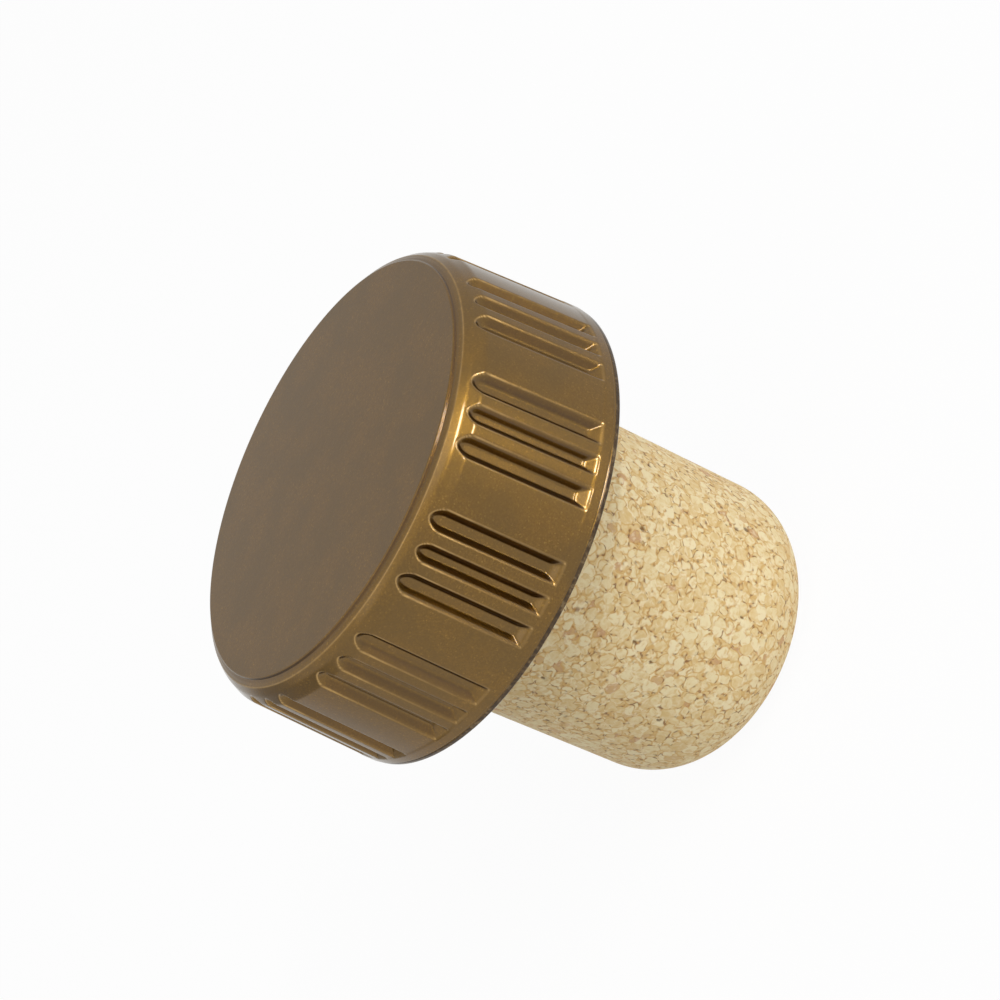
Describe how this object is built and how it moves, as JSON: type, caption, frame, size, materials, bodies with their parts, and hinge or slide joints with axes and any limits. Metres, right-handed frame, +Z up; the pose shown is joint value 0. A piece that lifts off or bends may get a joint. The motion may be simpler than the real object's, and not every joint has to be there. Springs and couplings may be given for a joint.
{
  "type": "cork stopper",
  "caption": "Bar-top bottle stopper: a low round cap with grouped grip flutes in its skirt, glued on a straight cork shank with a rounded free end.",
  "frame": {"origin": "centre of the cork's flat free end, on which the stopper stands", "axes": "+Z up the stopper's axis, from the cork's free end to the cap's top disc; -Y through the middle of one flute group"},
  "size_m": [0.031, 0.031, 0.032],
  "materials": {
    "agglomerated_cork": "matte",
    "bronze_lacquer": "satin"
  },
  "bodies": {
    "root": {"cork_shank": "agglomerated_cork", "fluted_cap": "bronze_lacquer"}
  },
  "joints": []
}
